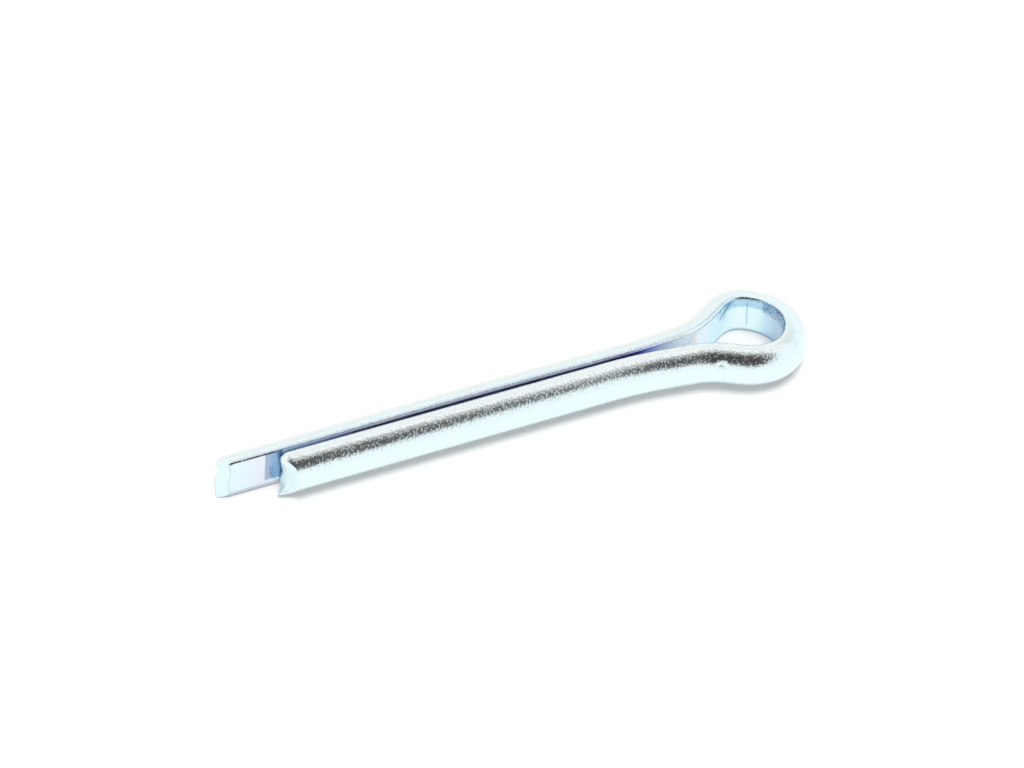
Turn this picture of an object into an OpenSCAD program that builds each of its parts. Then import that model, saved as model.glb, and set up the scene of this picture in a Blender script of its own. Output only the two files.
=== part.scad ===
// Split cotter pin: one length of half-round wire folded flat to flat, with a
// teardrop eye at the fold and two legs of unequal length that lie together as
// a round shank.
//
// The pin lies on its side. The shank runs along X with its leg tips towards
// -X and the eye towards +X, the split between the legs is the XZ plane, and
// the eye opens along Z. The origin is on the shank's axis at the neck, where
// the legs begin to part.

/* [Wire] */
// Diameter of the round shank that the two legs form together
shank_d = 3.6; // [2.4:0.1:4.8]
// Width of the split between the flat sides of the legs
split_gap = 0.28; // [0.1:0.02:0.44]
// Radius that rounds the two long edges of the half-round wire
edge_r = 0.17; // [0.05:0.01:0.24]
// How much fuller the wire is all round where it has been bent
bend_swell = 0.01; // [0.005:0.005:0.03]

/* [Legs] */
// Length of the short leg from the neck to the middle of its sheared end
short_leg = 24.6; // [8:0.2:80]
// How far the long leg reaches past the short one
leg_step = 3.6; // [0:0.2:8]
// Turn of the sheared ends away from square, seen from above
shear_skew = 20; // [0:1:35]
// Lean of the sheared ends away from upright, seen from the side
shear_lean = 9; // [0:1:20]

/* [Neck] */
// Length of the neck, from the legs' parting to the shoulders of the eye
neck_l = 5.3; // [4:0.1:7]
// Clear width between the legs at the shoulders
shoulder_gap = 1.2; // [0.8:0.05:2]
// Radius inside the bend at the neck, on the round side of the wire
neck_inner_r = 15; // [4:0.5:24]
// Radius inside the bend at the shoulders, on the round side of the wire
shoulder_inner_r = 4.6; // [0.6:0.1:5.5]

/* [Eye] */
// Clear diameter inside the round end of the eye
eye_d = 4.28; // [3.2:0.04:5.2]
// Distance from the shoulders to the centre of the eye
eye_reach = 3.55; // [3.2:0.05:7]

/* [Hidden] */
$fn = 96;
// Radius of the shank, and distance of each flat side from the split plane
shank_r = shank_d / 2;
flat_y = split_gap / 2;
// Thickness of the wire, from its flat side to the crest of its round side
wire_t = shank_r - flat_y;
// Radius inside the eye, and of the flat side at the neck and the shoulders
eye_r = eye_d / 2;
neck_bend_r = neck_inner_r + wire_t;
shoulder_bend_r = shoulder_inner_r + wire_t;
// Length of the long leg
long_leg = short_leg + leg_step;

// Line of the flat side, as seen from above: straight from neck to shoulder
// and from shoulder to eye, with an arc at each turn
shoulder_y = shoulder_gap / 2;
neck_turn = atan2(shoulder_y - flat_y, neck_l);
neck_run = norm([neck_l, shoulder_y - flat_y]);
eye_sight = norm([eye_reach, shoulder_y]);
flank_run = sqrt(eye_sight * eye_sight - eye_r * eye_r);
flank_turn = asin(eye_r / eye_sight) - atan2(shoulder_y, eye_reach);
shoulder_turn = flank_turn - neck_turn;
// Length that each arc takes from the straight runs on both sides of it
neck_trim = neck_bend_r * tan(neck_turn / 2);
shoulder_trim = shoulder_bend_r * tan(shoulder_turn / 2);
// Places along the pin of the shoulders and of the eye's centre
shoulder_x = neck_trim + neck_l;
eye_x = shoulder_x + eye_reach;
// Length by which a straight run is buried in the fuller wire of each bend
bury = 0.1;
// Length of wire that shearing takes off each leg, and the size of the block
// that takes it off
shear_waste = shank_d;
shear_block = 6 * shank_d;

// Half-round section of the wire, fuller all round by swell. The flat side
// faces -X and lies on the Y axis when there is no swell.
module wire_section(swell = 0) {
    round_r = shank_r + swell;
    flat_x = flat_y - swell;
    // Centre of the small arc that rounds the upper edge
    edge_x = flat_x + edge_r;
    edge_y = sqrt(pow(round_r - edge_r, 2) - pow(edge_x, 2));
    translate([-flat_y, 0]) difference() {
        circle(r = round_r);
        translate([flat_x - 2 * round_r, -round_r]) square(2 * round_r);
        sharp_edge(round_r, edge_x, edge_y);
        mirror([0, 1]) sharp_edge(round_r, edge_x, edge_y);
    }
}

// What rounding takes off the upper edge of a section of radius round_r
module sharp_edge(round_r, edge_x, edge_y) {
    // Direction from the section's centre through the arc's centre
    out = [edge_x, edge_y] / norm([edge_x, edge_y]);
    difference() {
        polygon([
            [edge_x, edge_y], [edge_x - 2 * edge_r, edge_y], [edge_x - 2 * edge_r, round_r],
            out * (round_r + 2 * edge_r)
        ]);
        translate([edge_x, edge_y]) circle(r = edge_r);
    }
}

// Straight run of wire along +X, flat side towards -Y
module run(length) {
    rotate([90, 0, 90]) linear_extrude(length) wire_section();
}

// Bend that starts at the origin heading along +X and turns left, with the
// round side on the inside of the turn
module bend(bend_r, turn) {
    translate([0, bend_r, 0]) rotate([0, 0, -90]) rotate_extrude(angle = turn)
        translate([bend_r, 0]) mirror([1, 0]) wire_section(bend_swell);
}

// Round end of the eye, centred on the origin, from one flank to the other
module eye_end() {
    turn = 90 + flank_turn;
    rotate([0, 0, -turn]) rotate_extrude(angle = 2 * turn)
        translate([eye_r, 0]) wire_section(bend_swell);
}

// One side of the neck, on the +Y side of the split, from its bend at the neck
// to the eye
module flank() {
    translate([0, flat_y, 0]) bend(neck_bend_r, neck_turn);
    translate([neck_trim, flat_y, 0]) rotate([0, 0, neck_turn]) {
        translate([neck_trim - bury, 0, 0]) run(neck_run - neck_trim - shoulder_trim + 2 * bury);
        translate([neck_run - shoulder_trim, 0, 0]) bend(shoulder_bend_r, shoulder_turn);
    }
    translate([shoulder_x, shoulder_y, 0]) rotate([0, 0, flank_turn])
        translate([shoulder_trim - bury, 0, 0]) run(flank_run - shoulder_trim + 2 * bury);
}

// Straight leg on the +Y side of the split, from its sheared tip to the neck
module leg(length, skew) {
    difference() {
        translate([-length - shear_waste, flat_y, 0]) run(length + shear_waste + bury);
        translate([-length, flat_y, 0]) shear(skew);
    }
}

// Everything on the -X side of a sheared end
module shear(skew) {
    rotate([0, shear_lean, skew]) translate([-shear_block, -shear_block / 2, -shear_block / 2])
        cube(shear_block);
}

// The whole pin: long leg at +Y, short leg at -Y, both cut the same way
module cotter_pin() {
    color([0.86, 0.88, 0.90]) {
        leg(long_leg, shear_skew);
        mirror([0, 1, 0]) leg(short_leg, -shear_skew);
        flank();
        mirror([0, 1, 0]) flank();
        translate([eye_x, 0, 0]) eye_end();
    }
}

cotter_pin();
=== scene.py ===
"""Split cotter pin of half-round plated wire, folded flat to flat round a teardrop eye.

The wire is one sweep: a half-round section follows the line of its flat side
from the short leg, round the eye, to the long leg. Geometry nodes make the
sweep. The two sheared ends, the tool marks and the finish are added to it.
Lengths in the classes are millimetres; meshes are in metres.
"""
import logging
import math
from dataclasses import dataclass
from enum import Enum
from typing import Sequence

import bpy
import numpy as np
from mathutils import Matrix, Vector


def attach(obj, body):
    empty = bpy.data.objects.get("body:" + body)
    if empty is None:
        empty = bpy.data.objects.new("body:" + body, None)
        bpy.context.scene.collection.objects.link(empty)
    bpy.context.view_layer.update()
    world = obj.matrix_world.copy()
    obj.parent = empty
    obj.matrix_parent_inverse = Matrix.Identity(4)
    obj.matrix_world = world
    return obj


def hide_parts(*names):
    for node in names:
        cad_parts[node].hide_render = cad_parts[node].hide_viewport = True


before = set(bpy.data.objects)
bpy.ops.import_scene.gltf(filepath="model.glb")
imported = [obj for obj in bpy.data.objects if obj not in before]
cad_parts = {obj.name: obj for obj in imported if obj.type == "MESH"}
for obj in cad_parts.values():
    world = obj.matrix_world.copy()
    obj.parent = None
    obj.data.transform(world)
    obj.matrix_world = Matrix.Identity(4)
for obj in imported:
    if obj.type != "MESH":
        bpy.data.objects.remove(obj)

log = logging.getLogger("cotter_pin")

MM = 0.001
ALONG = "along_wire"
PIECE = "cotter_pin_wire"
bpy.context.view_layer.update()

Rgb = tuple[float, float, float]
Tree = bpy.types.NodeTree
Socket = bpy.types.NodeSocket
Value = bpy.types.NodeSocket | float
Colour = bpy.types.NodeSocket | Rgb


class Leg(Enum):
    """The two legs, by the way the wire runs on them (+1 is towards +X)."""

    SHORT = 1
    LONG = -1


class Finish(Enum):
    """The pin's finishes, by the number of their material slot."""

    WIRE = 0
    SHEARED = 1
    FLAT = 2


class Ray(Enum):
    """Kinds of ray that the studio answers in a way of their own."""

    CAMERA = "Is Camera Ray"
    GLOSSY = "Is Glossy Ray"
    TRANSMISSION = "Is Transmission Ray"


def linear(red: int, green: int, blue: int) -> Rgb:
    """Turn a display colour into the linear colour that shaders use.

    Args:
        red: Red from 0 to 255.
        green: Green from 0 to 255.
        blue: Blue from 0 to 255.

    Returns:
        The three linear parts, from 0 to 1.
    """
    def part(level: int) -> float:
        """One channel."""
        v = level / 255
        return v / 12.92 if v <= 0.04045 else ((v + 0.055) / 1.055) ** 2.4
    return part(red), part(green), part(blue)


def smooth_step(t: np.ndarray) -> np.ndarray:
    """Ease t from 0 to 1, level at both ends."""
    t = np.clip(t, 0.0, 1.0)
    return t * t * (3 - 2 * t)


# --- the wire

@dataclass(frozen=True)
class EdgeRound:
    """Rounding of one edge between the half oval and the flat.

    Attributes:
        radius: Mean radius, mm.
        facet: How much flatter its middle is than its two ends, from 0 to 1.
        steps: Steps along the edge in the mesh.
        substeps: Smaller steps in each of those, which place them exactly.
    """

    radius: float
    facet: float = 0.0
    steps: int = 9
    substeps: int = 8

    def arc(self, meet: float) -> np.ndarray:
        """Follow the edge backwards from the flat.

        Args:
            meet: Normal angle at which the edge leaves the oval, radians.

        Returns:
            Points (out, up), from the oval to the flat. The last one is (0, 0).
        """
        count = self.steps * self.substeps
        # The edge is flattest halfway, where its normal stands at 135 degrees.
        turn = np.linspace(math.pi, meet, count + 1)
        middle = (turn[1:] + turn[:-1]) / 2
        bow = self.radius * (1 + self.facet * np.cos(4 * (middle - 0.75 * math.pi)))
        length = bow * (math.pi - meet) / count
        out = np.concatenate([[0.0], np.cumsum(length * np.sin(middle))])
        up = np.concatenate([[0.0], np.cumsum(-length * np.cos(middle))])
        return np.column_stack([out, up])[::-self.substeps]


@dataclass(frozen=True)
class WireSection:
    """Half-round section: a half oval on a flat, with two rounded edges.

    The rolls that drew the wire left its lower edge rounder than the upper one.

    Attributes:
        half_height: Half the height of the oval.
        thickness: From the flat to the crest of the oval.
        upper_edge: Rounding of the upper edge.
        lower_edge: Rounding of the lower edge.
        round_steps: Steps round the oval.
        flat_steps: Steps along the flat.
        least_meet: Least normal angle at which an edge may leave the oval.
        halvings: Times that the search for that angle halves its range.
    """

    half_height: float = 1.80
    thickness: float = 1.765
    upper_edge: EdgeRound = EdgeRound(0.17, facet=0.9)
    lower_edge: EdgeRound = EdgeRound(0.29)
    round_steps: int = 46
    flat_steps: int = 20
    least_meet: float = 0.5
    halvings: int = 50

    def _oval(self, angle: float) -> tuple[float, float]:
        """Find a point of the oval by the angle of its outward normal.

        Args:
            angle: The angle above the way out, radians.

        Returns:
            The point (out, up).
        """
        t, h = self.thickness, self.half_height
        size = math.hypot(t * math.cos(angle), h * math.sin(angle))
        return t * t * math.cos(angle) / size, h * h * math.sin(angle) / size

    def _fit(self, edge: EdgeRound) -> tuple[np.ndarray, float]:
        """Place an edge so that it touches both the oval and the flat.

        Args:
            edge: The edge's rounding.

        Returns:
            The edge's points (out, up) for an upper edge, from the oval to the
            flat, and the normal angle at which it leaves the oval.
        """
        low, high = self.least_meet, math.pi / 2
        for _ in range(self.halvings):
            mid = (low + high) / 2
            if self._oval(mid)[0] > edge.arc(mid)[0, 0]:
                low = mid
            else:
                high = mid
        arc = edge.arc(low)
        return arc + (0.0, self._oval(low)[1] - arc[0, 1]), low

    def outline(self) -> np.ndarray:
        """Closed outline of the section, anticlockwise.

        Returns:
            Points (out, up): out is the distance from the flat, in mm.
        """
        upper, upper_meet = self._fit(self.upper_edge)
        lower, lower_meet = self._fit(self.lower_edge)
        oval = [self._oval(angle) for angle in
                np.linspace(-lower_meet, upper_meet, self.round_steps + 1)]
        flat = [(0.0, z) for z in
                np.linspace(upper[-1, 1], -lower[-1, 1], self.flat_steps + 1)[1:-1]]
        return np.vstack([oval, upper[1:], flat, (lower * (1, -1))[:0:-1]])

    def as_curve(self) -> bpy.types.Object:
        """Closed curve of the outline, in metres; the sweep turns it upside down."""
        return poly_curve("wire_section", self.outline() * (MM, -MM), closed=True)


@dataclass(frozen=True)
class Bend:
    """One bend of the flat's line, seen from above, after a straight run.

    Attributes:
        place: Which part of the pin it shapes.
        run: Length of the straight run before it.
        turn: How far the wire turns, in degrees; more than 0 is to the left.
        radius: Radius of the flat's line.
    """

    place: str
    run: float
    turn: float
    radius: float


@dataclass(frozen=True)
class WireLine:
    """Line of the wire's flat side: straight legs and the bends between them.

    The last bend turns what is still missing to fold the wire back on itself,
    and the run before the far shoulder is as long as the split needs.

    Attributes:
        short_flat_y: Y of the short leg's flat.
        long_flat_y: Y of the long leg's flat.
        first_bend_x: X where the short leg ends and the near neck begins.
        short_start_x: X where the sweep of the short leg begins.
        long_end_x: X where the sweep of the long leg ends.
        step: Distance between two points of the line.
        bends: The bends, in order.
        closing: Place of the bend whose run is worked out.
        trial: Change of that run from which the right one is worked out.
        bow: How far the middle of the long leg stands off from a straight line.
        bow_from: Where along X that begins.
        eye_set: How far the finished eye was knocked aside, along X and Y.
        eye_set_from: Where along X that begins and where it is complete.
    """

    short_flat_y: float = -0.14
    long_flat_y: float = -0.02
    first_bend_x: float = -1.37
    short_start_x: float = -22.9
    long_end_x: float = -27.2
    step: float = 0.02
    bends: tuple[Bend, ...] = (
        Bend("near neck", 0.0, -6.2, 36.0),
        Bend("near shoulder", 2.47, -20.7, 7.07),
        Bend("eye, near flank", 1.01, 27.3, 3.5),
        Bend("eye, nose", 0.06, 122.2, 1.81),
        Bend("eye, far side", 0.0, 25.9, 3.43),
        Bend("eye, far flank", 0.3, 62.9, 1.67),
        Bend("far shoulder", 1.09, -27.4, 6.27),
        Bend("far neck", 1.91, -4.0, 40.0),
    )
    closing: str = "far shoulder"
    trial: float = 0.5
    bow: float = 0.11
    bow_from: float = 6.0
    eye_set: tuple[float, float] = (-0.08, -0.08)
    eye_set_from: tuple[float, float] = (2.0, 8.0)

    def _walk(self, closing_run: float) -> list[tuple[float, float, float]]:
        """Follow the wire with a given run before the closing bend.

        Args:
            closing_run: Length of that run.

        Returns:
            Points (x, y, heading in radians), a step apart.
        """
        x, y, heading = self.short_start_x, self.short_flat_y, 0.0
        rows = [(x, y, heading)]

        def straight(length: float) -> None:
            """Add a straight run.

            Args:
                length: Its length.
            """
            nonlocal x, y
            count = max(1, round(length / self.step))
            for _ in range(count):
                x += math.cos(heading) * length / count
                y += math.sin(heading) * length / count
                rows.append((x, y, heading))

        straight(self.first_bend_x - self.short_start_x)
        for bend in self.bends:
            run = closing_run if bend.place == self.closing else bend.run
            if run > 0:
                straight(run)
            turn = math.pi - heading if bend is self.bends[-1] else math.radians(bend.turn)
            count = max(2, round(abs(turn) * bend.radius / self.step))
            chord = 2 * bend.radius * math.sin(abs(turn) / count / 2)
            for _ in range(count):
                heading += turn / count / 2
                x += math.cos(heading) * chord
                y += math.sin(heading) * chord
                heading += turn / count / 2
                rows.append((x, y, heading))
        straight(x - self.long_end_x)
        return rows

    def points(self) -> np.ndarray:
        """Work out the whole line.

        Returns:
            Points (x, y, heading), in mm and radians.
        """
        first = next(bend.run for bend in self.bends if bend.place == self.closing)
        miss = [self._walk(first + change)[-1][1] - self.long_flat_y
                for change in (0.0, self.trial)]
        run = first - self.trial * miss[0] / (miss[1] - miss[0])
        rows = np.array(self._walk(run))
        start, end = self.eye_set_from
        share = smooth_step((rows[:, 0] - start) / (end - start))
        rows[:, :2] += share[:, None] * self.eye_set
        on_far_side = np.arange(len(rows)) > rows[:, 0].argmax()
        t = np.clip((self.bow_from - rows[:, 0]) / (self.bow_from - self.long_end_x), 0, 1)
        rows[:, 1] += on_far_side * self.bow * np.sin(math.pi * t) ** 2
        log.info("line of the wire: run before the %s %.3f, ends at y %.4f",
                 self.closing, run, rows[-1][1])
        return rows

    def as_curve(self) -> bpy.types.Object:
        """Open curve object of the line, in metres, for the sweep tree."""
        return poly_curve("wire_line", self.points()[:, :2] * MM, closed=False)


def poly_curve(name: str, points: np.ndarray, closed: bool) -> bpy.types.Object:
    """Make a curve object of straight steps in the XY plane.

    Args:
        name: The object's name.
        points: Points (x, y) in metres.
        closed: Whether the last point joins the first.

    Returns:
        The curve object.
    """
    data = bpy.data.curves.new(name, "CURVE")
    data.dimensions = "3D"
    spline = data.splines.new("POLY")
    spline.points.add(len(points) - 1)
    flat = np.zeros((len(points), 4))
    flat[:, :2] = points
    flat[:, 3] = 1.0
    spline.points.foreach_set("co", flat.ravel())
    spline.use_cyclic_u = closed
    return link(bpy.data.objects.new(name, data))


def link(made: bpy.types.Object) -> bpy.types.Object:
    """Put an object in the scene."""
    bpy.context.scene.collection.objects.link(made)
    return made


@dataclass(frozen=True)
class SweepTree:
    """Geometry nodes that sweep a section along a line that lies in XY.

    Attributes:
        name: Name of the tree.
        ring_spacing: Distance between two rings of the wire, mm.
    """

    name: str = "sweep_wire"
    ring_spacing: float = 0.085

    def build(self) -> Tree:
        """Make the tree, with an input for each of its sizes.

        Returns:
            The node tree.
        """
        tree = bpy.data.node_groups.new(self.name, "GeometryNodeTree")
        for label, kind in (("Line", "Geometry"), ("Section", "Object"),
                            ("Ring Spacing", "Float"), ("Surface", "Material")):
            tree.interface.new_socket(label, in_out="INPUT",
                                      socket_type="NodeSocket" + kind)
        tree.interface.new_socket("Wire", in_out="OUTPUT",
                                  socket_type="NodeSocketGeometry")
        add = tree.nodes.new
        entry, leave = add("NodeGroupInput"), add("NodeGroupOutput")
        resample = add("GeometryNodeResampleCurve")
        resample.mode = "LENGTH"
        upright = add("GeometryNodeSetCurveNormal")
        upright.mode = "Z_UP"
        section = add("GeometryNodeObjectInfo")
        sweep = add("GeometryNodeCurveToMesh")
        realize = add("GeometryNodeRealizeInstances")
        paint = add("GeometryNodeSetMaterial")
        for source, result, target, place in (
                (entry, "Line", resample, "Curve"),
                (entry, "Ring Spacing", resample, "Length"),
                (entry, "Section", section, "Object"),
                (entry, "Surface", paint, "Material"),
                (resample, "Curve", upright, "Curve"),
                (upright, "Curve", sweep, "Curve"),
                (section, "Geometry", sweep, "Profile Curve"),
                (sweep, "Mesh", realize, "Geometry"),
                (realize, "Geometry", paint, "Geometry"),
                (paint, "Geometry", leave, "Wire")):
            tree.links.new(source.outputs[result], target.inputs[place])
        return tree

    def run(self, line: bpy.types.Object, section: bpy.types.Object,
            surface: bpy.types.Material) -> bpy.types.Mesh:
        """Sweep the section along the line and keep the result as a mesh.

        Args:
            line: Curve object of the flat's line. It is removed.
            section: Curve object of the section. It is removed.
            surface: Material of the wire.

        Returns:
            An open tube, ring after ring from the start of the line.
        """
        tree = self.build()
        modifier = line.modifiers.new("sweep", "NODES")
        modifier.node_group = tree
        values = {"Section": section, "Ring Spacing": self.ring_spacing * MM,
                  "Surface": surface}
        for item in tree.interface.items_tree:
            if item.in_out == "INPUT" and item.name in values:
                modifier[item.identifier] = values[item.name]
        graph = bpy.context.evaluated_depsgraph_get()
        mesh = bpy.data.meshes.new_from_object(line.evaluated_get(graph))
        line.modifiers.remove(modifier)
        for used in (line, section):
            bpy.data.objects.remove(used)
        return mesh


# --- the sheared ends

@dataclass(frozen=True)
class ShearedEnd:
    """End of a leg where the wire was sheared off.

    Attributes:
        rim: How the end meets the wire, as rows of (angle, reach, roll): the
            place round the middle of the section in degrees, the X that the rim
            reaches there, and the size of the rolled edge. 0 degrees is up, 90
            the crest of the round side, 180 down and 270 the flat.
        stretch: Length of the rolled edge along the wire, in times its size.
        hollow: How far the cut face is dished.
        lip_power: How close to the rim the drawn-out corner stays.
        roll_rings: Rings of points on the rolled edge.
        face_rings: Steps from the rim to the middle of the face.
        run_rings: Rings of points from the swept wire to the rolled edge.
        section_middle: How far the middle of the section is from the flat.
    """

    rim: tuple[tuple[float, float, float], ...]
    stretch: float = 1.5
    hollow: float = 0.04
    lip_power: float = 3.0
    roll_rings: int = 9
    face_rings: int = 14
    run_rings: int = 16
    section_middle: float = 0.72

    def _round_rim(self, angles: np.ndarray, column: int) -> np.ndarray:
        """Interpolate one column of the rim's rows, without overshoot.

        Args:
            angles: Angles round the section, degrees.
            column: Which column, counted from 0.

        Returns:
            The value at each angle.
        """
        knots = np.array([row[0] for row in self.rim])
        knots = np.concatenate([knots - 360, knots, knots + 360])
        known = np.tile([row[column] for row in self.rim], 3)
        grade = np.diff(known) / np.diff(knots)
        level = grade[1:] * grade[:-1] <= 0
        mean = 2 * grade[1:] * grade[:-1] / np.where(level, 1.0, grade[1:] + grade[:-1])
        slope = np.concatenate([[0.0], np.where(level, 0.0, mean), [0.0]])
        place = np.clip(np.searchsorted(knots, angles) - 1, 0, len(knots) - 2)
        width = knots[place + 1] - knots[place]
        t = (angles - knots[place]) / width
        return ((2 * t**3 - 3 * t**2 + 1) * known[place]
                + (t**3 - 2 * t**2 + t) * width * slope[place]
                + (3 * t**2 - 2 * t**3) * known[place + 1]
                + (t**3 - t**2) * width * slope[place + 1])

    def rings(self, outline: np.ndarray, start_x: float) -> np.ndarray:
        """Rings of points from the straight wire to the middle of the face.

        Args:
            outline: The section's points (out, up).
            start_x: Where the swept wire ends.

        Returns:
            Array of rings by points by (x, out, up), without the start ring.
            The last ring is a small one round the middle of the face.
        """
        rel = outline - np.array([self.section_middle, 0.0])
        angles = np.degrees(np.arctan2(rel[:, 0], rel[:, 1])) % 360
        reach = self._round_rim(angles, 1)
        roll = self._round_rim(angles, 2)
        size = np.linalg.norm(rel, axis=1)
        rows: list[np.ndarray] = []

        def ring(x: np.ndarray, inset: np.ndarray) -> None:
            """Add a ring.

            Args:
                x: X of its points.
                inset: How far each point is in from the outline.
            """
            share = 1 - inset / size
            rows.append(np.column_stack([
                x, self.section_middle + rel[:, 0] * share, rel[:, 1] * share]))

        length = roll * self.stretch
        shoulder = reach + length
        for k in range(1, self.run_rings + 1):
            ring(start_x + (shoulder - start_x) * k / self.run_rings, np.zeros_like(roll))
        for k in range(1, self.roll_rings + 1):
            a = math.pi / 2 * k / self.roll_rings
            ring(shoulder - length * math.sin(a), roll * (1 - math.cos(a)))
        inner = rel * (1 - roll / size)[:, None]
        flat = np.column_stack([inner, np.ones(len(inner))])
        tilt = np.linalg.lstsq(flat, reach, rcond=None)[0]
        for k in range(1, self.face_rings):
            share = 1 - k / self.face_rings
            plane = inner @ tilt[:2] * share + tilt[2]
            ring(plane + self.hollow * (1 - share**2)
                 + (reach - flat @ tilt) * share**self.lip_power,
                 size - (size - roll) * share)
        return np.stack(rows)


# --- tool marks

@dataclass(frozen=True)
class ToolMark:
    """A small dent, crease or raised burr on the surface of the wire.

    Attributes:
        name: What the mark is and where.
        place: Middle of the mark (x, y, z) in mm.
        along: Direction of its long side.
        length: Half length.
        width: Half width.
        depth: Depth; a negative one stands proud.
    """

    name: str
    place: tuple[float, float, float]
    along: tuple[float, float, float]
    length: float
    width: float
    depth: float

    def press(self, points: np.ndarray, normals: np.ndarray) -> np.ndarray:
        """Press the mark into the surface.

        Args:
            points: Surface points, mm.
            normals: Outward normals at the points.

        Returns:
            The moved points.
        """
        away = points - np.array(self.place)
        along = np.array(self.along) / np.linalg.norm(self.along)
        t = away @ along
        across = np.linalg.norm(away - np.outer(t, along), axis=1)
        # Level along the mark, with soft ends, and round across it.
        weight = np.exp(-(t / self.length) ** 4 - (across / self.width) ** 2)
        return points - normals * (weight * self.depth)[:, None]


# --- shader building

class Shading:
    """Adds shader nodes to one tree.

    Attributes:
        tree: The tree.
        new: Adds a node, given the name of its type.
    """

    def __init__(self, tree: Tree) -> None:
        """Take the tree to work in."""
        self.tree = tree
        self.new = tree.nodes.new

    def feed(self, place: Socket, value: Value | Rgb) -> None:
        """Give an input its value.

        Args:
            place: The input.
            value: A socket to link to it, a number or a linear colour.
        """
        if isinstance(value, bpy.types.NodeSocket):
            self.tree.links.new(value, place)
        else:
            place.default_value = (*value, 1.0) if isinstance(value, tuple) else value

    def maths(self, operation: str, first: Value, second: Value = 0.0,
              clamp: bool = False) -> Socket:
        """Work out one value from two.

        Args:
            operation: The Math node's name for what is done.
            first: First value.
            second: Second value, where there is one.
            clamp: Whether the result is held between 0 and 1.

        Returns:
            The result.
        """
        node = self.new("ShaderNodeMath")
        node.operation, node.use_clamp = operation, clamp
        self.feed(node.inputs[0], first)
        self.feed(node.inputs[1], second)
        return node.outputs[0]

    def spread(self, value: Socket, span: tuple[float, float],
               result: tuple[Value, Value] = (0.0, 1.0), smooth: bool = False) -> Socket:
        """Turn one span of values into another one, held at both ends.

        Args:
            value: The value.
            span: Where it starts and ends.
            result: What those two places turn into.
            smooth: Whether it is eased at both ends.

        Returns:
            The result.
        """
        node = self.new("ShaderNodeMapRange")
        node.interpolation_type = "SMOOTHSTEP" if smooth else "LINEAR"
        labels = ("Value", "From Min", "From Max", "To Min", "To Max")
        for label, part in zip(labels, (value, *span, *result)):
            self.feed(node.inputs[label], part)
        return node.outputs["Result"]

    def mix(self, blend: str, factor: Value, first: Colour, second: Colour) -> Socket:
        """Mix two colours.

        Args:
            blend: The Mix node's name for how they mix.
            factor: How much the second one counts, from 0 to 1.
            first: First colour.
            second: Second colour.

        Returns:
            The mixed colour.
        """
        node = self.new("ShaderNodeMix")
        node.data_type, node.blend_type = "RGBA", blend
        for label, value in (("Factor", factor), ("A", first), ("B", second)):
            self.feed(node.inputs[label], value)
        return node.outputs["Result"]

    def ramp(self, share: Socket, rows: Sequence[tuple[float, Rgb]]) -> Socket:
        """Colour that follows a value.

        Args:
            share: The value: 0 at the first row and 1 at the last one.
            rows: Pairs of a place, in any one unit, and the linear colour there.

        Returns:
            The colour.
        """
        node = self.new("ShaderNodeValToRGB")
        stops = node.color_ramp.elements
        first, last = rows[0][0], rows[-1][0]
        stops[0].position, stops[0].color = 0.0, (*rows[0][1], 1.0)
        stops[1].position, stops[1].color = 1.0, (*rows[-1][1], 1.0)
        for place, colour in rows[1:-1]:
            stops.new((place - first) / (last - first)).color = (*colour, 1.0)
        self.feed(node.inputs["Fac"], share)
        return node.outputs["Color"]

    def coordinate(self, kind: str, axis: str) -> Socket:
        """Read one axis of a texture coordinate.

        Args:
            kind: The Texture Coordinate node's name for it.
            axis: X, Y or Z.

        Returns:
            The coordinate.
        """
        split = self.new("ShaderNodeSeparateXYZ")
        self.feed(split.inputs[0], self.new("ShaderNodeTexCoord").outputs[kind])
        return split.outputs[axis]

    def along_wire(self) -> Socket:
        """Read how far along the wire a point is.

        Returns:
            The distance from the middle of the nose, in mm.
        """
        where = self.new("ShaderNodeAttribute")
        where.attribute_name = ALONG
        return where.outputs["Fac"]

    def any_ray(self, *rays: Ray) -> Socket:
        """Tell some kinds of ray from all others.

        Args:
            rays: The kinds.

        Returns:
            A value that is 1 for a ray of any of those kinds, and else 0.
        """
        path = self.new("ShaderNodeLightPath")
        found = path.outputs[rays[0].value]
        for ray in rays[1:]:
            found = self.maths("MAXIMUM", found, path.outputs[ray.value])
        return found


# --- finishes

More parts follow.
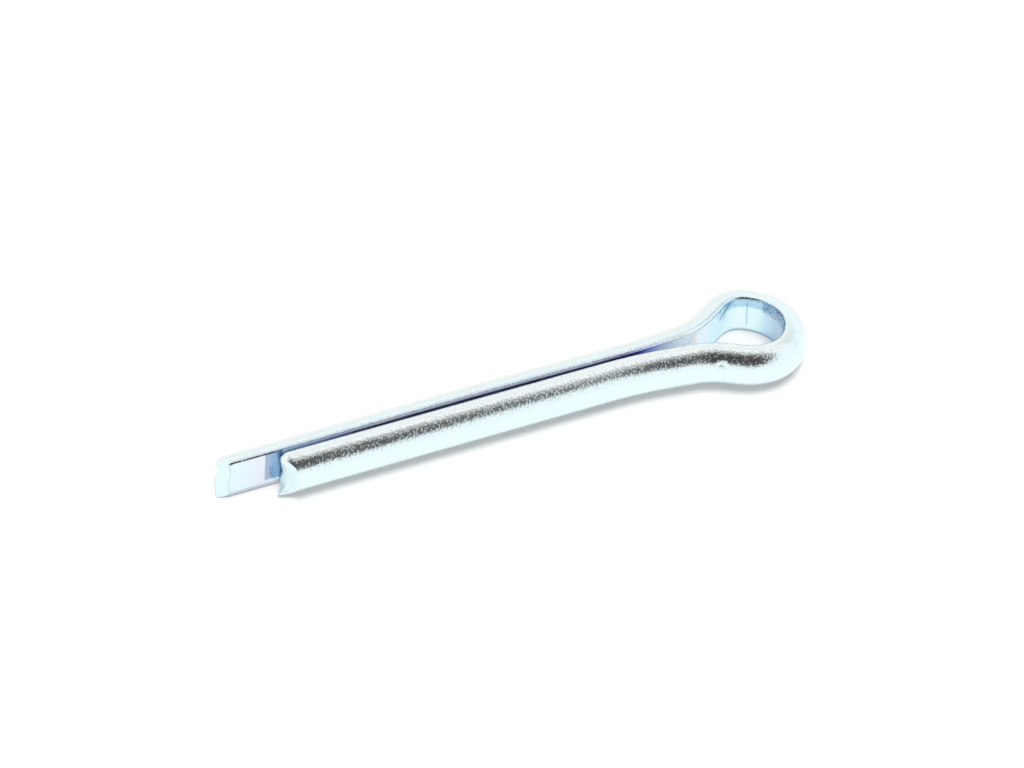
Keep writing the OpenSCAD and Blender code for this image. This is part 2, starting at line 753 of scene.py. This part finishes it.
@dataclass(frozen=True)
class PlatingGrain:
    """Node group of the fine grain that zinc plating has on drawn wire.

    Attributes:
        name: Name of the group.
        raised: Values of the grain at which a speck begins to rise and is up.
        dulled: Values of the grain at which a speck begins to dull and is dull.
        detail: Levels of detail in the grain and in the slow waves.
        grain_roughness: How much the finer levels of the grain count.
        wave_roughness: How much those of the slow waves count.
    """

    name: str = "plating_grain"
    raised: tuple[float, float] = (0.46, 0.70)
    dulled: tuple[float, float] = (0.54, 0.62)
    detail: float = 1.0
    grain_roughness: float = 0.6
    wave_roughness: float = 0.4

    def build(self) -> Tree:
        """Make the group.

        Returns:
            Group with the outputs Height, Roughness and Bloom.
        """
        tree = bpy.data.node_groups.new(self.name, "ShaderNodeTree")
        for side, labels in (
                ("INPUT", ("Grain Size", "Wave Size", "Wave Share", "Smooth", "Matt")),
                ("OUTPUT", ("Height", "Roughness", "Bloom"))):
            for label in labels:
                tree.interface.new_socket(label, in_out=side,
                                          socket_type="NodeSocketFloat")
        work = Shading(tree)
        entry = work.new("NodeGroupInput").outputs
        leave = work.new("NodeGroupOutput").inputs
        place = work.new("ShaderNodeTexCoord").outputs["Object"]

        def noise(size: str, roughness: float) -> Socket:
            """Add a noise whose grains are as large as an input says.

            Args:
                size: Name of that input, which is in mm.
                roughness: How much the noise's finer levels count.

            Returns:
                The noise, from 0 to 1.
            """
            made = work.new("ShaderNodeTexNoise")
            for label, value in (("Detail", self.detail), ("Roughness", roughness),
                                 ("Vector", place),
                                 ("Scale", work.maths("DIVIDE", 1 / MM, entry[size]))):
                work.feed(made.inputs[label], value)
            return made.outputs[0]

        grain = noise("Grain Size", self.grain_roughness)
        wave = noise("Wave Size", self.wave_roughness)
        waves = work.maths("MULTIPLY", wave, entry["Wave Share"])
        specks = work.spread(grain, self.raised, smooth=True)
        work.feed(leave["Height"], work.maths("ADD", waves, specks))
        work.feed(leave["Roughness"],
                  work.spread(grain, self.dulled, (entry["Smooth"], entry["Matt"])))
        work.feed(leave["Bloom"], wave)
        return tree


@dataclass(frozen=True)
class Tone:
    """The colour at one place along the wire, with painted shade and painted reflection in
    it.

    Attributes:
        along: The place, in mm from the nose.
        colour: Display colour there, from 0 to 255, with its painted shade and painted
            reflection.
        dull: What is added to its roughness there.
    """

    along: float
    colour: tuple[int, int, int]
    dull: float = 0.0


@dataclass(frozen=True)
class ShadePatch:
    """Patch of the wire where painted shade and painted reflection change the colour.

    Attributes:
        name: What the patch is and where.
        along: Where it begins and ends along the wire from the nose, mm.
        height: Where it begins and ends in height, mm.
        soft: How soft its border is along the wire and in height, mm.
        colour: What the plating's colour is multiplied by, which paints the shade.
        speckle: How much the grain breaks it up, from 0 to 1.
        slant: How far it leans along the wire for each mm of height.
        speckle_middle: Height of the grain at which the patch is as it was.
        speckle_gain: How fast the grain's height changes the patch.
    """

    name: str
    along: tuple[float, float]
    height: tuple[float, float]
    soft: tuple[float, float]
    colour: Rgb
    speckle: float = 0.0
    slant: float = 0.0
    speckle_middle: float = 0.5
    speckle_gain: float = 1.6

    def apply(self, work: Shading, colour: Socket, grain: Socket) -> Socket:
        """Multiply a colour by the patch's colour inside the patch, which paints its
        shade.

        Args:
            work: The material's nodes.
            colour: The colour so far.
            grain: Height of the grain, which breaks the patch up.

        Returns:
            The new colour.
        """
        # The patch's mask, where its painted shade goes, by place along the wire and by
        # height.
        height = work.maths("DIVIDE", work.coordinate("Object", "Z"), MM)
        lean = work.maths("MULTIPLY", height, self.slant)
        along = work.maths("ADD", lean, work.along_wire())
        sides: list[Socket] = []
        for value, (start, end), soft in ((along, self.along, self.soft[0]),
                                          (height, self.height, self.soft[1])):
            half = (end - start) / 2
            away = work.maths("ABSOLUTE", work.maths("SUBTRACT", value, (start + end) / 2))
            sides.append(work.spread(away, (half + soft, half), smooth=True))
        inside = work.maths("MULTIPLY", *sides)
        if self.speckle:
            grain = work.maths("SUBTRACT", grain, self.speckle_middle)
            lift = work.maths("MULTIPLY", grain, self.speckle_gain * self.speckle)
            share = work.maths("ADD", lift, 1.0)
            inside = work.maths("MULTIPLY", inside, share, clamp=True)
        log.info("stain: %s", self.name)
        return work.mix("MULTIPLY", inside, colour, self.colour)


@dataclass(frozen=True)
class BrightZinc:
    """Mirror-like zinc plating with a fine grain.

    Attributes:
        name: Name of the material.
        tone: Linear colour of the plating.
        bloom: Colour where the plating is a little cloudy.
        grain: Size of the grain, mm.
        wave: Size of the slow waves, mm.
        wave_share: How high the slow waves are against the grain.
        height: Height of the grain, mm.
        smooth: Lowest roughness.
        matt: Highest roughness.
        tones: Colours along the wire, instead of the one tone; they hold painted shade and
            painted reflection.
        shade_patches: Patches of painted shade and painted reflection.
    """

    name: str
    tone: Rgb = linear(236, 251, 254)
    bloom: Rgb = linear(233, 249, 252)
    grain: float = 0.15
    wave: float = 2.5
    wave_share: float = 0.3
    height: float = 0.0046
    smooth: float = 0.05
    matt: float = 0.3
    tones: tuple[Tone, ...] = ()
    shade_patches: tuple[ShadePatch, ...] = ()

    def build(self, grain_tree: Tree) -> bpy.types.Material:
        """Make the material.

        Args:
            grain_tree: The node group of the plating's grain.

        Returns:
            The material.
        """
        made = bpy.data.materials.new(self.name)
        made.use_nodes = True
        work = Shading(made.node_tree)
        shader = made.node_tree.nodes["Principled BSDF"].inputs
        shader["Metallic"].default_value = 1.0
        grain = work.new("ShaderNodeGroup")
        grain.node_tree = grain_tree
        for label, value in (("Grain Size", self.grain), ("Wave Size", self.wave),
                             ("Wave Share", self.wave_share), ("Smooth", self.smooth),
                             ("Matt", self.matt)):
            grain.inputs[label].default_value = value
        bump = work.new("ShaderNodeBump")
        bump.inputs["Distance"].default_value = self.height * MM
        work.feed(bump.inputs["Height"], grain.outputs["Height"])
        work.feed(shader["Normal"], bump.outputs["Normal"])
        rough = grain.outputs["Roughness"]
        # The colours along the wire and the patches paint shade and reflection into the
        # base colour.
        if self.tones:
            span = self.tones[0].along, self.tones[-1].along
            share = work.spread(work.along_wire(), span)
            colour = work.ramp(share, [(t.along, linear(*t.colour)) for t in self.tones])
            dull = work.ramp(share, [(t.along, (t.dull,) * 3) for t in self.tones])
            rough = work.maths("ADD", rough, dull)
        else:
            colour = work.mix("MIX", grain.outputs["Bloom"], self.tone, self.bloom)
        for shade_patch in self.shade_patches:
            colour = shade_patch.apply(work, colour, grain.outputs["Height"])
        work.feed(shader["Roughness"], rough)
        work.feed(shader["Base Color"], colour)
        return made


# A height that is past the wire's edges, for patches of painted shade that go right up to
# them.
PAST_EDGE = 2.5
WIRE_FINISH = BrightZinc("bright_zinc_wire")
SHEARED_FINISH = BrightZinc(
    "bright_zinc_sheared_end", tone=linear(234, 254, 255), bloom=linear(231, 252, 254),
    grain=0.3, height=0.001, smooth=0.45, matt=0.4)
# The flat side carries painted shade and painted reflection, in its tones along the wire
# and in its patches.
FLAT_FINISH_WITH_PAINTED_SHADE = BrightZinc(
    "bright_zinc_flat_side_painted_shade", height=0.0012, matt=0.2,
    # Painted shade and painted reflection: lavender-blue and darker where the legs face
    # each other across the slit and inside the nose, and the mirrored colours of the other
    # leg in the eye and the neck.
    tones=(
        Tone(-40, (228, 245, 254)),
        Tone(-37, (215, 232, 248), 0.3),
        Tone(-33, (190, 190, 222), 0.35),
        Tone(-14, (190, 190, 222), 0.35),
        Tone(-12, (200, 212, 250), 0.1),
        Tone(-10, (225, 236, 255)),
        Tone(-7, (228, 248, 254)),
        Tone(-4, (232, 254, 255)),
        Tone(-0.6, (205, 228, 248)),
        Tone(0.4, (180, 203, 226)),
        Tone(1.2, (196, 226, 242)),
        Tone(2.0, (228, 252, 254)),
        Tone(3.4, (234, 254, 255)),
        Tone(5.2, (206, 243, 254)),
        Tone(7.0, (228, 246, 255), 0.05),
        Tone(8.2, (250, 253, 255), 0.25),
        Tone(9.4, (250, 253, 255), 0.22),
        Tone(10.5, (234, 240, 255), 0.14),
        Tone(12.0, (202, 210, 252), 0.15),
        Tone(13.4, (160, 163, 208), 0.3),
        Tone(16.0, (212, 226, 244), 0.35),
        Tone(31.5, (212, 226, 242), 0.35),
        Tone(33.0, (200, 212, 236), 0.5),
        Tone(34.4, (206, 220, 242), 0.8),
        Tone(38.1, (205, 226, 244), 0.9),
        Tone(38.25, (232, 246, 253), 0.3),
        Tone(38.4, (231, 243, 251)),
        Tone(39.6, (233, 240, 248)),
        Tone(40.6, (228, 246, 253)),
        Tone(42.5, (230, 249, 253))),
    shade_patches=(
        # Painted reflection of the near leg's sheared end in the far leg's flat side.
        ShadePatch("far leg, painted reflection of the near tip", (38.05, 39.14),
              (-0.85, PAST_EDGE), (0.1, 0.3), (0.48, 0.54, 0.68), slant=0.104),
        # Lighter middle of that painted reflection.
        ShadePatch("far leg, middle of that zone", (38.05, 38.7),
              (-0.8, PAST_EDGE), (0.15, 0.3), (0.74, 0.92, 1.0), slant=0.104),
        # Painted shade: a darker line on the flat along the edge of the cut.
        ShadePatch("far leg, edge of the cut", (41.6, 41.82),
              (-PAST_EDGE, PAST_EDGE), (0.1, 0.1), (0.86, 0.87, 0.90)),
        # Painted shade on the far leg's rounded lower edge near the tip, where it mirrors
        # the floor's shadow.
        ShadePatch("far leg, lower edge at the tip", (36.0, 41.7),
              (-PAST_EDGE, -1.34), (2.0, 0.12), (0.74, 0.73, 0.78)),
        # Painted shade in the crease of the eye.
        ShadePatch("eye, crease", (2.77, 2.83),
              (-0.9, 1.15), (0.04, 0.3), (0.55, 0.68, 0.86), slant=-0.063),
        # Painted shade in the scratch at the far flank.
        ShadePatch("eye, scratch at the far flank", (5.62, 5.82),
              (0.6, 1.5), (0.08, 0.15), (0.36, 0.46, 0.66), slant=1.04),
        # Painted shade along the top of the eye's inner wall, broken up by the grain.
        ShadePatch("eye, top of the wall", (1.4, 4.6),
              (1.0, PAST_EDGE), (0.4, 0.25), (0.52, 0.68, 0.84), speckle=0.4),
        # Painted shade at the top corner of the nose, broken up by the grain.
        ShadePatch("eye, painted shade at the top corner of the nose", (-0.6, 1.5),
              (1.0, PAST_EDGE), (0.4, 0.6), (0.34, 0.42, 0.50), speckle=1.0),
        # Painted shade on the eye's lower edge, where it mirrors the floor's shadow.
        ShadePatch("eye, lower edge", (-9.0, 9.0),
              (-PAST_EDGE, -1.5), (1.5, 0.1), (0.72, 0.84, 0.97))))


# --- the pin

@dataclass(frozen=True)
class SplitPin:
    """The pin: one folded wire with a sheared end on each leg.

    Attributes:
        section: The wire's section.
        line: The line of its flat side.
        sweep: The nodes that sweep the one along the other.
        plated: Finish of the round side.
        inside: Finish of the flat side, with its painted shade and painted reflection.
        sheared: Finish of the two cut faces.
        short_end: Sheared end of the short leg.
        long_end: Sheared end of the long leg.
        marks: Tool marks, in the order in which they are pressed.
        on_flat: How near the flat a point of the section counts as on it.
        flat_finish_to: How far from the flat its finish goes, on the upper edge
            and on the lower one.
    """

    section: WireSection = WireSection()
    line: WireLine = WireLine()
    sweep: SweepTree = SweepTree()
    plated: BrightZinc = WIRE_FINISH
    inside: BrightZinc = FLAT_FINISH_WITH_PAINTED_SHADE
    sheared: BrightZinc = SHEARED_FINISH
    short_end: ShearedEnd = ShearedEnd(rim=(
        (0, -24.6, 0.45), (12, -24.25, 0.2), (29, -23.98, 0.08), (60, -23.94, 0.06),
        (86, -24.02, 0.06), (114, -24.15, 0.06), (146, -24.4, 0.06), (157, -24.9, 0.08),
        (168, -25.32, 0.08), (183, -25.24, 0.08), (206, -24.93, 0.06),
        (240, -24.73, 0.06), (270, -24.6, 0.06), (300, -24.7, 0.12),
        (325, -24.72, 0.3), (345, -24.75, 0.5)))
    long_end: ShearedEnd = ShearedEnd(rim=(
        (0, -28.6, 0.5), (30, -28.72, 0.45), (60, -28.78, 0.3), (82, -28.82, 0.12),
        (95, -28.76, 0.08), (122, -28.56, 0.06), (145, -28.95, 0.06), (160, -29.1, 0.08),
        (177, -29.2, 0.08), (191, -29.3, 0.08), (199, -29.0, 0.06), (206, -28.45, 0.06),
        (240, -28.4, 0.06), (270, -28.32, 0.06), (300, -28.22, 0.06),
        (325, -28.16, 0.1), (345, -28.35, 0.35)))
    marks: tuple[ToolMark, ...] = (
        ToolMark("dent on the near neck", place=(6.30, -2.56, 1.0),
                 along=(0.9, -0.35, 0.1), length=0.30, width=0.30, depth=0.05),
        ToolMark("nick below the dent", place=(6.2, -2.74, -0.45),
                 along=(0.9, -0.35, -0.1), length=0.16, width=0.1, depth=0.02),
        ToolMark("crease in the eye", place=(10.12, 1.73, 0.1),
                 along=(0.0, 0.0, 1.0), length=1.2, width=0.09, depth=0.035),
        ToolMark("scratch at the far flank", place=(8.35, 1.72, 1.1),
                 along=(0.99, 0.48, 1.07), length=0.75, width=0.1, depth=0.03))
    on_flat: float = 0.01
    flat_finish_to: tuple[float, float] = (0.13, 0.3)

    def build(self) -> bpy.types.Object:
        """Make the pin as one closed mesh with its three finishes.

        Returns:
            The finished object.
        """
        grain_tree = PlatingGrain().build()
        dressed = {Finish.WIRE: self.plated, Finish.SHEARED: self.sheared,
                   Finish.FLAT: self.inside}
        materials = [dressed[kind].build(grain_tree) for kind in Finish]
        tube = self.sweep.run(self.line.as_curve(), self.section.as_curve(),
                              materials[Finish.WIRE.value])
        points, faces, kinds, along = self._close(tube)
        points = self._press_marks(points, faces)
        mesh = bpy.data.meshes.new(PIECE)
        mesh.from_pydata((points * MM).tolist(), [], faces)
        for material in materials:
            mesh.materials.append(material)
        mesh.polygons.foreach_set("material_index", kinds)
        mesh.polygons.foreach_set("use_smooth", [True] * len(faces))
        mesh.attributes.new(ALONG, "FLOAT", "POINT").data.foreach_set("value", along)
        mesh.validate()
        mesh.update()
        bpy.data.meshes.remove(tube)
        return link(bpy.data.objects.new(PIECE, mesh))

    def _sheared_rings(self, leg: Leg, ring: np.ndarray) -> np.ndarray:
        """Rings of one leg's sheared end, in the pin's place.

        Args:
            leg: The leg.
            ring: The tube's last ring there, mm.

        Returns:
            The rings' points (x, y, z), from the tube to the middle of the face.
        """
        end, flat_y = ((self.short_end, self.line.short_flat_y) if leg is Leg.SHORT
                       else (self.long_end, self.line.long_flat_y))
        own = np.column_stack([-leg.value * (ring[:, 1] - flat_y), ring[:, 2]])
        cap = end.rings(own, float(ring[:, 0].mean()))
        return np.stack([cap[:, :, 0], flat_y - leg.value * cap[:, :, 1], cap[:, :, 2]],
                        axis=2)

    def _close(self, tube: bpy.types.Mesh
               ) -> tuple[np.ndarray, list[list[int]], list[int], np.ndarray]:
        """Add the two sheared ends to the swept tube.

        Args:
            tube: The open tube, in metres.

        Returns:
            Points in mm, faces turned outwards, a finish for each face, and how
            far each point is along the wire from the middle of the nose, in mm.
        """
        flat = np.empty(len(tube.vertices) * 3)
        tube.vertices.foreach_get("co", flat)
        swept = flat.reshape(-1, len(self.section.outline()), 3) / MM
        rings = np.concatenate([self._sheared_rings(Leg.SHORT, swept[0])[::-1], swept,
                                self._sheared_rings(Leg.LONG, swept[-1])])
        out, up = self.line.short_flat_y - swept[0][:, 1], swept[0][:, 2]
        along = self._distance_along(rings, out < self.on_flat)
        above, below = self.flat_finish_to
        faces, kinds = self._faces(len(rings), (out < above) | ((out < below) & (up < 0)))
        points = np.vstack([rings.reshape(-1, 3), rings[0].mean(axis=0),
                            rings[-1].mean(axis=0)])
        log.info("wire: from %.2f to %.2f mm along", along.min(), along.max())
        return points, faces, kinds, along

    def _faces(self, total: int, bare: np.ndarray) -> tuple[list[list[int]], list[int]]:
        """Faces between the rings and on the middle of each cut face.

        Args:
            total: Number of rings.
            bare: Which points of a ring have the flat side's finish.

        Returns:
            The faces, turned outwards, and a finish for each.
        """
        count = len(bare)
        start, end = total * count, total * count + 1
        flat_side = bare & np.roll(bare, -1)
        faces: list[list[int]] = []
        kinds: list[int] = []
        for r in range(total - 1):
            cut = min(r, total - 2 - r) < self.short_end.face_rings - 1
            for k in range(count):
                n = (k + 1) % count
                faces.append([(r + 1) * count + k, (r + 1) * count + n,
                              r * count + n, r * count + k])
                kind = (Finish.SHEARED if cut else Finish.FLAT if flat_side[k]
                        else Finish.WIRE)
                kinds.append(kind.value)
        for k in range(count):
            n = (k + 1) % count
            faces.append([k, n, start])
            faces.append([(total - 1) * count + n, (total - 1) * count + k, end])
            kinds += [Finish.SHEARED.value] * 2
        return faces, kinds

    @staticmethod
    def _distance_along(rings: np.ndarray, on_flat: np.ndarray) -> np.ndarray:
        """How far each point is along the wire from the middle of the nose.

        Args:
            rings: The rings' points.
            on_flat: Which points of a ring lie on the flat.

        Returns:
            The distances, in mm, with one more at the end for each cut face.
        """
        spine = np.array([ring[on_flat].mean(axis=0) for ring in rings])
        step = np.linalg.norm(np.diff(spine, axis=0), axis=1)
        along = np.concatenate([[0.0], np.cumsum(step)])
        along -= along[np.argmax(spine[:, 0])]
        return np.concatenate([np.repeat(along, len(on_flat)), along[[0, -1]]])

    def _press_marks(self, points: np.ndarray, faces: list[list[int]]) -> np.ndarray:
        """Press every tool mark into the surface.

        Args:
            points: Surface points, mm.
            faces: The faces.

        Returns:
            The moved points.
        """
        quads = np.array([f if len(f) == 4 else [*f, f[2]] for f in faces])
        a, b, c, d = (points[quads[:, i]] for i in range(4))
        tilt = np.cross(c - a, d - b)
        normals = np.zeros_like(points)
        for corner in range(4):
            np.add.at(normals, quads[:, corner], tilt)
        normals /= np.linalg.norm(normals, axis=1)[:, None]
        for mark in self.marks:
            points = mark.press(points, normals)
            log.info("tool mark: %s", mark.name)
        return points


# --- the studio

WHITE = (1.0, 1.0, 1.0)


@dataclass(frozen=True)
class DomePatch:
    """A soft round patch of the dome that polished metal mirrors.

    Attributes:
        name: What it stands for.
        azimuth: Degrees from -Y towards +X.
        elevation: Degrees above the floor.
        rows: Pairs of an angle from the middle of the patch, in degrees, and
            the linear colour that the dome is multiplied by there.
    """

    name: str
    azimuth: float
    elevation: float
    rows: tuple[tuple[float, Rgb], ...]

    def colours(self, work: Shading, view: Socket) -> Socket:
        """Work out the patch's colour in the direction that is seen.

        Args:
            work: The world's nodes.
            view: The direction.

        Returns:
            The colour, which is white beyond the patch.
        """
        a, e = math.radians(self.azimuth), math.radians(self.elevation)
        toward = work.new("ShaderNodeVectorMath")
        toward.operation = "DOT_PRODUCT"
        toward.inputs[1].default_value = (
            math.sin(a) * math.cos(e), -math.cos(a) * math.cos(e), math.sin(e))
        work.feed(toward.inputs[0], view)
        angle = work.maths("ARCCOSINE", toward.outputs["Value"])
        share = work.maths("DIVIDE", angle, math.radians(self.rows[-1][0]))
        log.info("dome: %s", self.name)
        return work.ramp(share, self.rows)


@dataclass(frozen=True)
class Studio:
    """White floor, white dome, soft lamp and the camera.

    Attributes:
        floor_z: Height of the floor.
        floor_half: Half the floor's width.
        floor_white: How much light the floor gives back.
        floor_lift: Glow that the camera sees on the floor.
        floor_mirror_lift: Glow that metal mirrors from the floor.
        floor_mirror_share: How much of the floor's own light metal mirrors.
        floor_back: Tint of the floor behind the pin, where metal mirrors it.
        floor_back_from: Y where that tint begins and where it is full.
        lamp_level: Light of the lamp on the floor.
        lamp_width: How wide the lamp looks from the floor, degrees.
        lamp_lean: How far it leans to the right and to the front, degrees.
        lamp_height: How far it hangs from the pin.
        fill_level: Light of the dome on the floor.
        overhead_gain: A dome that is brightest overhead gives the floor two
            thirds of a plain one's light, which this makes up for.
        eye: Place of the camera.
        right: What is to the right in its picture.
        up: What is up in its picture.
        view_angle: Width of its view, degrees.
        view_depth: Nearest and farthest distance that it sees.
        patches: The patches of the dome that metal mirrors.
    """

    floor_z: float = -1.8
    floor_half: float = 900.0
    floor_white: float = 0.85
    floor_lift: float = 0.14
    floor_mirror_lift: float = 0.38
    floor_mirror_share: float = 0.7
    floor_back: Rgb = (0.98, 0.89, 0.86)
    floor_back_from: tuple[float, float] = (2.0, 5.0)
    lamp_level: float = 0.65
    lamp_width: float = 26.0
    lamp_lean: tuple[float, float] = (4.0, 7.0)
    lamp_height: float = 300.0
    fill_level: float = 0.46
    overhead_gain: float = 1.5
    eye: tuple[float, float, float] = (-39.98165, -86.92688, 121.62215)
    right: tuple[float, float, float] = (0.9416, -0.3367, 0.0054)
    up: tuple[float, float, float] = (0.2633, 0.7459, 0.6119)
    view_angle: float = 25.949
    view_depth: tuple[float, float] = (10.0, 10000.0)
    patches: tuple[DomePatch, ...] = (
        DomePatch("dark hood round the lens", -15, 45, (
            (0, linear(112, 99, 95)), (10, linear(90, 85, 84)),
            (15, linear(112, 108, 106)), (20, linear(126, 123, 122)),
            (24, linear(158, 155, 154)), (27, linear(208, 206, 205)),
            (31, linear(240, 239, 238)), (35, WHITE))),
        DomePatch("grey card above the lens", -15, 52, (
            (0, linear(204, 205, 205)), (28, linear(204, 205, 205)),
            (30, linear(224, 224, 223)), (32, WHITE))),
        DomePatch("blue-grey wall behind", 165, 48, (
            (0, (0.64, 0.67, 0.77)), (6, (0.66, 0.69, 0.78)),
            (10, (0.78, 0.80, 0.87)), (14, (0.92, 0.92, 0.95)), (18, WHITE))),
        DomePatch("dark door in that wall", 165, 54, (
            (0, (0.72, 0.76, 0.80)), (7, (0.75, 0.78, 0.82)),
            (11, (0.95, 0.95, 0.97)), (13, WHITE))),
        DomePatch("low warm wall behind", 170, -8, (
            (0, (0.98, 0.89, 0.86)), (18, (0.99, 0.92, 0.89)), (30, WHITE))),
        DomePatch("grey card beyond the eye", 105, 46, (
            (0, (0.84, 0.85, 0.82)), (12, (0.86, 0.87, 0.84)),
            (17, (0.96, 0.96, 0.95)), (22, WHITE))),
        DomePatch("warm white lamp above", 0, 90, (
            (0, (1.08, 0.99, 0.975)), (28, (1.08, 0.99, 0.975)), (42, WHITE))),
        DomePatch("grey frame across the lamp", -10, 14, (
            (0, WHITE), (80, WHITE), (83, (0.88, 0.90, 0.89)),
            (87, (0.88, 0.90, 0.89)), (91, WHITE), (180, WHITE))),
    )

    def place_camera(self) -> None:
        """Make the camera and give it to the scene."""
        data = bpy.data.cameras.new("camera")
        data.sensor_fit = "HORIZONTAL"
        data.angle = math.radians(self.view_angle)
        data.clip_start, data.clip_end = (depth * MM for depth in self.view_depth)
        right = np.array(self.right) / np.linalg.norm(self.right)
        back = np.cross(right, np.array(self.up))
        back /= np.linalg.norm(back)
        up = np.cross(back, right)
        turn = Matrix(np.column_stack([right, up, back]).tolist()).to_4x4()
        turn.translation = [v * MM for v in self.eye]
        lens = link(bpy.data.objects.new("camera", data))
        lens.matrix_world = turn
        bpy.context.scene.camera = lens
        log.info("camera: %.1f degrees wide", self.view_angle)

    def _white_paper(self) -> bpy.types.Material:
        """Material of the floor, which metal mirrors otherwise than it is seen.

        Returns:
            The material.
        """
        paper = bpy.data.materials.new("white_paper")
        paper.use_nodes = True
        paper.node_tree.nodes.clear()
        work = Shading(paper.node_tree)
        matt = work.new("ShaderNodeBsdfDiffuse")
        glow = work.new("ShaderNodeEmission")
        both = work.new("ShaderNodeAddShader")
        leave = work.new("ShaderNodeOutputMaterial")
        mirrored = work.any_ray(Ray.GLOSSY)
        behind = work.spread(work.coordinate("Object", "Y"),
                             tuple(y * MM for y in self.floor_back_from))
        tint = work.mix("MIX", work.maths("MULTIPLY", behind, mirrored),
                        (self.floor_white,) * 3,
                        tuple(self.floor_white * part for part in self.floor_back))
        colour = work.mix("MULTIPLY", mirrored, tint, (self.floor_mirror_share,) * 3)
        shown = work.maths("MULTIPLY", work.any_ray(Ray.CAMERA), self.floor_lift)
        reflected = work.maths("MULTIPLY", work.any_ray(Ray.GLOSSY, Ray.TRANSMISSION),
                               self.floor_mirror_lift)
        work.feed(matt.inputs["Color"], colour)
        work.feed(glow.inputs["Strength"], work.maths("ADD", shown, reflected))
        work.feed(both.inputs[0], matt.outputs[0])
        work.feed(both.inputs[1], glow.outputs[0])
        work.feed(leave.inputs["Surface"], both.outputs[0])
        return paper

    def lay_floor(self) -> bpy.types.Object:
        """Make the white floor, which keeps the pin's shadow.

        Returns:
            The floor object.
        """
        h, z = self.floor_half * MM, self.floor_z * MM
        mesh = bpy.data.meshes.new("studio_floor")
        mesh.from_pydata([(-h, -h, z), (h, -h, z), (h, h, z), (-h, h, z)], [],
                         [(0, 1, 2, 3)])
        mesh.materials.append(self._white_paper())
        log.info("floor: at z %.1f", self.floor_z)
        return link(bpy.data.objects.new("studio_floor", mesh))

    def light(self) -> None:
        """Make the dome: plain white, with the patches that metal mirrors."""
        world = bpy.data.worlds.new("white_dome")
        bpy.context.scene.world = world
        world.use_nodes = True
        world.cycles.sampling_method = "NONE"
        work = Shading(world.node_tree)
        view = work.new("ShaderNodeTexCoord").outputs["Generated"]
        mirrored: Colour = WHITE
        for patch in self.patches:
            mirrored = work.mix("MULTIPLY", 1.0, mirrored, patch.colours(work, view))
        fill = work.maths("MULTIPLY", work.coordinate("Generated", "Z"),
                          self.overhead_gain * self.fill_level, clamp=True)
        plain = work.mix("MIX", work.any_ray(Ray.CAMERA), fill, WHITE)
        path = work.new("ShaderNodeLightPath").outputs
        # Metal mirrors the patches. Light that the floor scatters stays plain.
        straight = work.maths("LESS_THAN", path["Diffuse Depth"], 0.5)
        seen = work.maths("MULTIPLY", path[Ray.GLOSSY.value], straight)
        back = world.node_tree.nodes["Background"].inputs
        back["Strength"].default_value = 1.0
        work.feed(back["Color"], work.mix("MIX", seen, plain, mirrored))

    def hang_lamp(self) -> None:
        """Hang the soft lamp overhead that gives the pin its close shadow."""
        data = bpy.data.lights.new("overhead_lamp", "SUN")
        # A sun of strength pi gives white paper a brightness of 1.
        data.energy = math.pi * self.lamp_level
        data.angle = math.radians(self.lamp_width)
        lamp = link(bpy.data.objects.new("overhead_lamp", data))
        right, front = (math.tan(math.radians(lean)) for lean in self.lamp_lean)
        toward = Vector((right, -front, 1.0)).normalized()
        lamp.rotation_euler = toward.to_track_quat("Z", "Y").to_euler()
        lamp.location = toward * self.lamp_height * MM
        lamp.visible_glossy = False
        log.info("lamp: %.0f degrees wide", self.lamp_width)


def main() -> None:
    """Build the studio and the pin."""
    logging.basicConfig(level=logging.INFO, format="%(message)s")
    bpy.context.scene.view_settings.view_transform = "Standard"
    studio = Studio()
    studio.place_camera()
    studio.light()
    studio.hang_lamp()
    studio.lay_floor()
    pin = SplitPin().build()
    log.info("piece: %s, %d faces", pin.name, len(pin.data.polygons))
    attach(pin, "root")
    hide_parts("cotter_pin")


if __name__ == "__main__":
    main()
